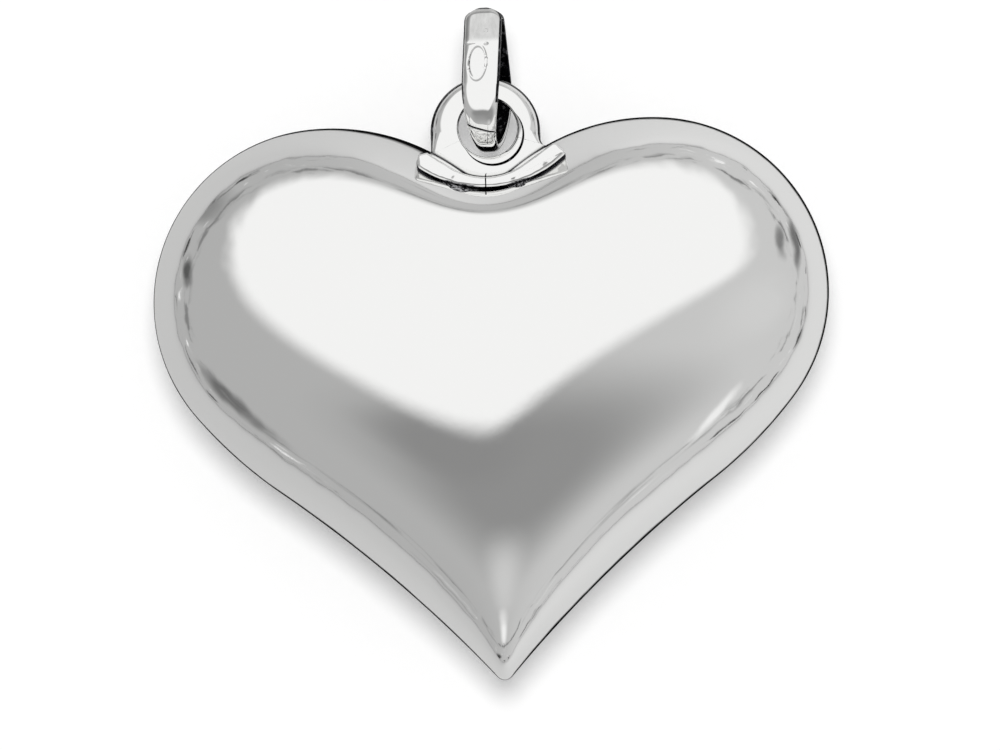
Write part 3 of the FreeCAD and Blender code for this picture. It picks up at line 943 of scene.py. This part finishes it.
def make_bail(strip, place, materials):
    """A stamped strip bent to a long loop, its slanting ends butted."""
    low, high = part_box("bail")
    whole, lean, at = bail_loop(strip)
    joint_angle = math.asin((JOINT_HEIGHT - strip.foot_radius) / strip.foot_radius)
    joint = (lean - joint_angle) * strip.foot_radius
    bm = bmesh.new()
    bmesh.ops.create_grid(bm, x_segments=STRIP_ROWS, y_segments=STRIP_COLUMNS, size=1.0)
    faces = bm.faces[:]
    thick = bmesh.ops.extrude_face_region(bm, geom=faces)
    inner = {item for item in thick["geom"] if isinstance(item, bmesh.types.BMVert)}
    # Painted shade: the loop's inner faces take the dark material.
    for face in bm.faces:
        face.material_index = int(all(vert in inner for vert in face.verts))
    for vert in bm.verts:
        run, edge = vert.co.x, vert.co.y
        travel = joint + JOINT_SLANT * edge + (run + 1.0) / 2.0 * whole
        travel -= JOINT_GAP * run / 2.0
        height, depth, angle = at(travel)
        across = edge * strip_half_width(strip, height)
        if vert in inner:
            inset = strip.strip_thickness
        else:
            inset = strip.crown * abs(edge) ** CROWN_POWER
            if depth > 0.0:
                inset += stamped(strip, across, height)
        vert.co = (across, height - inset * math.sin(angle), depth - inset * math.cos(angle))
    bmesh.ops.recalc_face_normals(bm, faces=bm.faces)
    crisp = [edge for edge in bm.edges if edge.calc_face_angle(0.0) > STRIP_CRISP]
    bmesh.ops.bevel(
        bm, geom=crisp, offset=strip.edge_round, offset_type="OFFSET", segments=4, profile=0.5,
        affect="EDGES", material=-1,
    )
    # Painted shade on the sideways edges and the end.
    for face in bm.faces:
        height = face.calc_center_median().y
        sideways = abs(face.normal.x) > EDGE_TURN and height > EDGE_FROM
        if sideways or height > strip.loop_length - END_BAND:
            face.material_index = 1
    bmesh.ops.rotate(
        bm, verts=bm.verts, cent=(0.0, 0.0, 0.0), matrix=Matrix.Rotation(-strip.lean, 3, "Y")
    )
    bmesh.ops.translate(
        bm, vec=((low.x + high.x) / 2.0, low.y, place.seam), verts=bm.verts
    )
    return write_piece(bm, "bail_strip", BAIL, ["bail"], materials)


class PENDANT_OT_shells(bpy.types.Operator):
    """Makes the front and back shells of the heart"""
    bl_idname = "pendant.shells"
    bl_label = "Shells"

    def execute(self, context):
        scene = context.scene
        heart = scene.heart_sizes
        place = Place(heart)
        material = buffed_sheet_silver(scene.silver_look, place.seam)
        make_shell("front_shell", 1.0, heart, place, material)
        make_shell("back_shell", -1.0, heart, place, material)
        return {"FINISHED"}


class PENDANT_OT_mount(bpy.types.Operator):
    """Makes the saddle, the eye and their solder in the cleft"""
    bl_idname = "pendant.mount"
    bl_label = "Saddle and eye"

    def execute(self, context):
        scene = context.scene
        look = scene.silver_look
        mount = scene.mount_sizes
        place = Place(scene.heart_sizes)
        make_saddle(mount, place, filed_plate_silver(look))
        make_eye(mount, place, [cast_silver(look), painted_shade_silver(look)])
        shell = bmesh.new()
        shell.from_mesh(bpy.data.meshes["front_shell"])
        dome = BVHTree.FromBMesh(shell)
        shell.free()
        solder = shaded_solder(look)
        make_solder("front_solder", 1.0, mount, place, dome, solder)
        make_solder("back_solder", -1.0, mount, place, dome, solder)
        return {"FINISHED"}


class PENDANT_OT_bail(bpy.types.Operator):
    """Makes the loose bail"""
    bl_idname = "pendant.bail"
    bl_label = "Bail"

    def execute(self, context):
        scene = context.scene
        look = scene.silver_look
        # The bail's inside and sideways edges use the painted shade material.
        inside = bpy.data.materials.get("painted_shade_silver") or painted_shade_silver(look)
        make_bail(scene.bail_sizes, Place(scene.heart_sizes), [drawn_strip_silver(look), inside])
        return {"FINISHED"}


def patch(tree, ball, middle, reach, turned, core):
    """A soft round patch on the mirror ball, full inside its core."""
    off = add_node(tree, "ShaderNodeMapping", {
        "Vector": ball, "Location": (*middle, 0.0), "Rotation": (0.0, 0.0, math.radians(turned)),
        "Scale": (*reach, 1.0),
    }, vector_type="TEXTURE").outputs[0]
    far = add_node(tree, "ShaderNodeVectorMath", {0: off}, operation="LENGTH").outputs["Value"]
    return soft_mask(tree, (far, 1.0, core))


# Light of the tent's cloth: on the left, on the right, and where it changes over.
CLOTH = (0.46, 0.62)
CLOTH_CHANGE = (-0.35, 0.5)

# Greys of the tent, in radii of the ball: middle, reach, turn in degrees, core, light.
TENT = (
    ((0.05, -0.25), (0.46, 0.24), 0.0, 0.30, 0.29),
    ((-0.10, -0.20), (0.22, 0.09), 0.0, 0.30, 0.27),
    ((0.49, -0.02), (0.15, 0.14), 0.0, 0.20, 0.66),
    ((-0.55, 0.45), (0.14, 0.12), 0.0, 0.20, 0.27),
    ((0.02, -0.44), (0.15, 0.12), 0.0, 0.10, 0.62),
    ((0.00, -0.57), (0.09, 0.08), 0.0, 0.10, 0.92),
    ((-0.24, -0.665), (0.17, 0.022), 0.0, 0.30, 0.05),
    ((0.64, 0.20), (0.035, 0.17), 0.0, 0.20, 0.18),
    ((0.56, 0.20), (0.03, 0.08), 0.0, 0.20, 0.22),
    ((-0.62, 0.17), (0.04, 0.09), 0.0, 0.20, 0.10),
    ((-0.55, -0.30), (0.05, 0.17), 32.0, 0.20, 0.16),
    ((0.47, -0.35), (0.025, 0.10), -12.0, 0.20, 0.92),
)

# The white panel over the pendant, cut off by a line with a slope: where it is 0 and where 1.
PANEL = ((0.0, 0.215), (0.475, 0.41), 0.0, 0.86)
PANEL_SLOPE = (-0.65, 1.0, 0.0)
PANEL_CUT = (-0.195, -0.14)
PANEL_LIGHT = 0.965

# Lines near the horizon: start, full and end radius, share of their length, light.
HORIZON = (
    (0.600, 0.625, 0.650, 0.49, 0.60, 0.22),
    (0.645, 0.665, 0.690, 0.40, 0.32, 0.92),
    (0.680, 0.696, 0.714, 0.53, 0.61, 0.02),
)


# How fast the horizon's lines change from ring to ring, and round it.
STREAK_CLIMB = (0.0, 0.0, 9.0)
STREAK_SCALE = 6.5


def studio_light(world, look):
    """A soft white tent over the card, as a mirror ball on the card would show it."""
    world.use_nodes = True
    tree = world.node_tree
    tree.nodes.clear()
    direction = add_node(tree, "ShaderNodeTexCoord").outputs["Generated"]
    lifted = add_node(tree, "ShaderNodeVectorMath", {
        0: direction, 1: (0.0, 0.0, 1.0),
    }, operation="ADD").outputs[0]
    facing = add_node(tree, "ShaderNodeVectorMath", {0: lifted}, operation="NORMALIZE").outputs[0]
    ball = add_node(tree, "ShaderNodeVectorMath", {
        0: facing, 1: (1.0, 1.0, 0.0),
    }, operation="MULTIPLY").outputs[0]
    right = add_node(tree, "ShaderNodeSeparateXYZ", {0: ball}).outputs[0]
    out = add_node(tree, "ShaderNodeVectorMath", {0: ball}, operation="LENGTH").outputs["Value"]
    slope = add_node(tree, "ShaderNodeVectorMath", {
        0: ball, 1: PANEL_SLOPE,
    }, operation="DOT_PRODUCT").outputs["Value"]
    around = add_node(tree, "ShaderNodeVectorMath", {0: ball}, operation="NORMALIZE").outputs[0]
    climb = add_node(tree, "ShaderNodeVectorMath", {
        0: STREAK_CLIMB, "Scale": out,
    }, operation="SCALE").outputs[0]
    streaks = add_node(tree, "ShaderNodeTexNoise", {
        "Vector": add_node(
            tree, "ShaderNodeVectorMath", {0: around, 1: climb}, operation="ADD"
        ).outputs[0],
        "Scale": STREAK_SCALE, "Detail": 4.0, "Roughness": 0.6,
    }).outputs[0]
    panel = add_node(tree, "ShaderNodeMath", {
        0: patch(tree, ball, *PANEL), 1: soft_mask(tree, (slope, *PANEL_CUT)),
    }, operation="MULTIPLY").outputs[0]
    layers = [(soft_mask(tree, (right, *CLOTH_CHANGE)), CLOTH[1])]
    layers += [(patch(tree, ball, *form), light) for *form, light in TENT]
    layers.append((panel, PANEL_LIGHT))
    for start, full, end, low, high, light in HORIZON:
        steps = ((out, start, full), (out, end, full), (streaks, low, high))
        layers.append((soft_mask(tree, *steps), light))
    level = CLOTH[0]
    for mask, light in layers:
        level = add_node(tree, "ShaderNodeMix", {0: mask, 2: level, 3: light}).outputs[0]
    white = (1.0, 1.0, 1.0, 1.0)
    tent = add_node(tree, "ShaderNodeBackground", {"Color": white, "Strength": level})
    even = add_node(tree, "ShaderNodeBackground", {"Color": white, "Strength": look.room_light})
    backdrop = add_node(tree, "ShaderNodeBackground", {"Color": white, "Strength": 1.0})
    ray = add_node(tree, "ShaderNodeLightPath").outputs
    lit = add_node(tree, "ShaderNodeMixShader", {
        0: ray["Is Diffuse Ray"], 1: tent.outputs[0], 2: even.outputs[0],
    })
    shown = add_node(tree, "ShaderNodeMixShader", {
        0: ray["Is Camera Ray"], 1: lit.outputs[0], 2: backdrop.outputs[0],
    })
    add_node(tree, "ShaderNodeOutputWorld", {"Surface": shown.outputs[0]})


def pale_floor(look):
    """Matt white card, lit a little from below so that only the shadow shows on it. The metal sees a
    darker copy of it, painted darker on the left than on the right, as painted shade.
    """
    material = new_material("white_card")
    tree = material.node_tree
    place = add_node(tree, "ShaderNodeTexCoord").outputs["Object"]
    across = add_node(tree, "ShaderNodeSeparateXYZ", {0: place}).outputs[0]
    # Painted shade: darker on the left, lighter on the right, for reflections only.
    shade = add_node(tree, "ShaderNodeMix", {
        0: soft_mask(tree, (across, -look.card_span, look.card_span)),
        6: (*look.card_left, 1.0), 7: (*look.card_right, 1.0),
    }, data_type="RGBA").outputs[2]
    mirrored = add_node(tree, "ShaderNodeBsdfDiffuse", {"Color": shade})
    plain = add_node(tree, "ShaderNodeBsdfDiffuse", {"Color": (*look.card, 1.0)})
    glow = add_node(tree, "ShaderNodeEmission", {"Strength": look.card_glow})
    lit = add_node(tree, "ShaderNodeAddShader", {0: plain.outputs[0], 1: glow.outputs[0]})
    camera = add_node(tree, "ShaderNodeLightPath").outputs["Is Camera Ray"]
    seen = add_node(tree, "ShaderNodeMixShader", {
        0: camera, 1: mirrored.outputs[0], 2: lit.outputs[0],
    })
    add_node(tree, "ShaderNodeOutputMaterial", {"Surface": seen.outputs[0]})
    return material


CONTACT_SHADOW_DARK = "#0C0C0C"


def contact_shadow_card():
    """Black card with a feathered edge, a painted shadow which draws a dark line round metal."""
    material = new_material("contact_shadow_card")
    tree = material.node_tree
    shade = add_node(tree, "ShaderNodeAttribute", attribute_name="shade").outputs["Fac"]
    clear = add_node(tree, "ShaderNodeBsdfTransparent")
    black = add_node(tree, "ShaderNodeBsdfDiffuse", {"Color": (*linear(CONTACT_SHADOW_DARK), 1.0)})
    feathered = add_node(tree, "ShaderNodeMixShader", {
        0: shade, 1: clear.outputs[0], 2: black.outputs[0],
    })
    add_node(tree, "ShaderNodeOutputMaterial", {"Surface": feathered.outputs[0]})
    return material


def stand(bm, name, material):
    """Turns a bmesh into a thing of the stage."""
    mesh = bpy.data.meshes.new(name)
    bm.to_mesh(mesh)
    bm.free()
    thing = bpy.data.objects.new(name, mesh)
    mesh.materials.append(material)
    bpy.context.collection.objects.link(thing)
    return thing


FLAG_STEPS = 240
FLAG_LIFT = 0.01 * MM

# How far the flag reaches, as a share of its whole reach, and how dark it is there.
FLAG_FEATHER = ((0.1, 0.0), (0.2, 1.0), (0.9, 1.0), (1.05, 0.6), (1.3, 0.0))


def shadow_flag_ring(heart, place, look, growth):
    """The heart's outline as a closed run of points, moved outwards for the flag."""
    arcs = heart_arcs(heart)
    whole = sum(radius * abs(end - start) for _, radius, start, end in arcs)
    steps = FLAG_STEPS // 2
    right = [along(arcs, whole * (step + 0.5) / steps) for step in range(steps)]
    loop = [Vector(point) for point in right] + [Vector((-x, y)) for x, y in reversed(right)]
    towards = Vector((math.cos(look.flag_bearing), math.sin(look.flag_bearing)))
    ring = []
    for index, point in enumerate(loop):
        run = loop[(index + 1) % len(loop)] - loop[index - 1]
        outward = Vector((-run.y, run.x)).normalized()
        lean = look.flag_lean * max(outward.dot(towards), 0.0)
        reach = look.flag_reach * (1.0 + lean) * growth
        moved = point + outward * reach
        moved.x = math.copysign(max(moved.x * math.copysign(1.0, point.x), 0.0), point.x)
        ring.append((moved.x, moved.y + place.rise, FLAG_LIFT))
    return ring


def make_shadow_flag(heart, place, look, material):
    """A dark ring on the floor round the heart, a painted contact shadow which only polished metal
    sees.
    """
    bm = bmesh.new()
    shade = bm.verts.layers.float.new("shade")
    ring = []
    for growth, dark in FLAG_FEATHER:
        places = shadow_flag_ring(heart, place, look, growth)
        if ring:
            ring = grow_ring(bm, ring, places)
        else:
            ring = [bm.verts.new(spot) for spot in places]
            for pair in zip(ring, ring[1:] + ring[:1]):
                bm.edges.new(pair)
        for vert in ring:
            vert[shade] = dark
    flag = stand(bm, "painted_contact_shadow", material)
    flag.visible_camera = False
    flag.visible_diffuse = False
    flag.visible_transmission = False
    flag.visible_shadow = False


class PENDANT_OT_stage(bpy.types.Operator):
    """Makes the card, the light and the camera"""
    bl_idname = "pendant.stage"
    bl_label = "Stage"

    def execute(self, context):
        scene = context.scene
        look = scene.studio_look
        heart = scene.heart_sizes
        place = Place(heart)
        bm = bmesh.new()
        bmesh.ops.create_grid(bm, x_segments=1, y_segments=1, size=1.0)
        stand(bm, "floor", pale_floor(look))
        make_shadow_flag(heart, place, look, contact_shadow_card())
        scene.world = bpy.data.worlds.new("studio")
        studio_light(scene.world, look)
        lamp = bpy.data.lights.new("softbox", "AREA")
        lamp.shape = "DISK"
        lamp.size = look.lamp_size
        lamp.energy = look.lamp_power
        box = bpy.data.objects.new("softbox", lamp)
        box.location = (0.0, look.lamp_back, look.lamp_height)
        box.rotation_euler = (-Vector(box.location)).to_track_quat("-Z", "Y").to_euler()
        box.visible_glossy = False
        scene.collection.objects.link(box)
        data = bpy.data.cameras.new("camera")
        data.lens = look.lens
        distance = look.frame_width / 2.0 / (data.sensor_width / 2.0 / data.lens)
        camera = bpy.data.objects.new("camera", data)
        camera.location = (look.frame_right, -look.frame_down, place.seam + distance)
        camera.rotation_euler = (0.0, 0.0, -look.frame_roll)
        scene.collection.objects.link(camera)
        scene.camera = camera
        scene.view_settings.view_transform = "Standard"
        return {"FINISHED"}


class PENDANT_PT_panel(bpy.types.Panel):
    """Lists the pendant's pieces"""
    bl_idname = "PENDANT_PT_panel"
    bl_label = "Puffy heart pendant"
    bl_space_type = "VIEW_3D"
    bl_region_type = "UI"
    bl_category = "Pendant"

    def draw(self, context):
        for name in ("shells", "mount", "bail", "stage"):
            self.layout.operator(f"pendant.{name}")


CLASSES += [
    PENDANT_OT_shells, PENDANT_OT_mount, PENDANT_OT_bail, PENDANT_OT_stage, PENDANT_PT_panel,
]
GROUPS = {
    "heart_sizes": HeartSizes, "mount_sizes": MountSizes, "bail_sizes": BailSizes,
    "silver_look": SilverLook, "studio_look": StudioLook,
}


def register():
    for item in CLASSES:
        bpy.utils.register_class(item)
    for name, group in GROUPS.items():
        setattr(bpy.types.Scene, name, PointerProperty(type=group))


def unregister():
    for name in GROUPS:
        delattr(bpy.types.Scene, name)
    for item in reversed(CLASSES):
        bpy.utils.unregister_class(item)


def main():
    register()
    bpy.ops.pendant.shells()
    bpy.ops.pendant.mount()
    bpy.ops.pendant.bail()
    bpy.ops.pendant.stage()


if __name__ == "__main__":
    main()
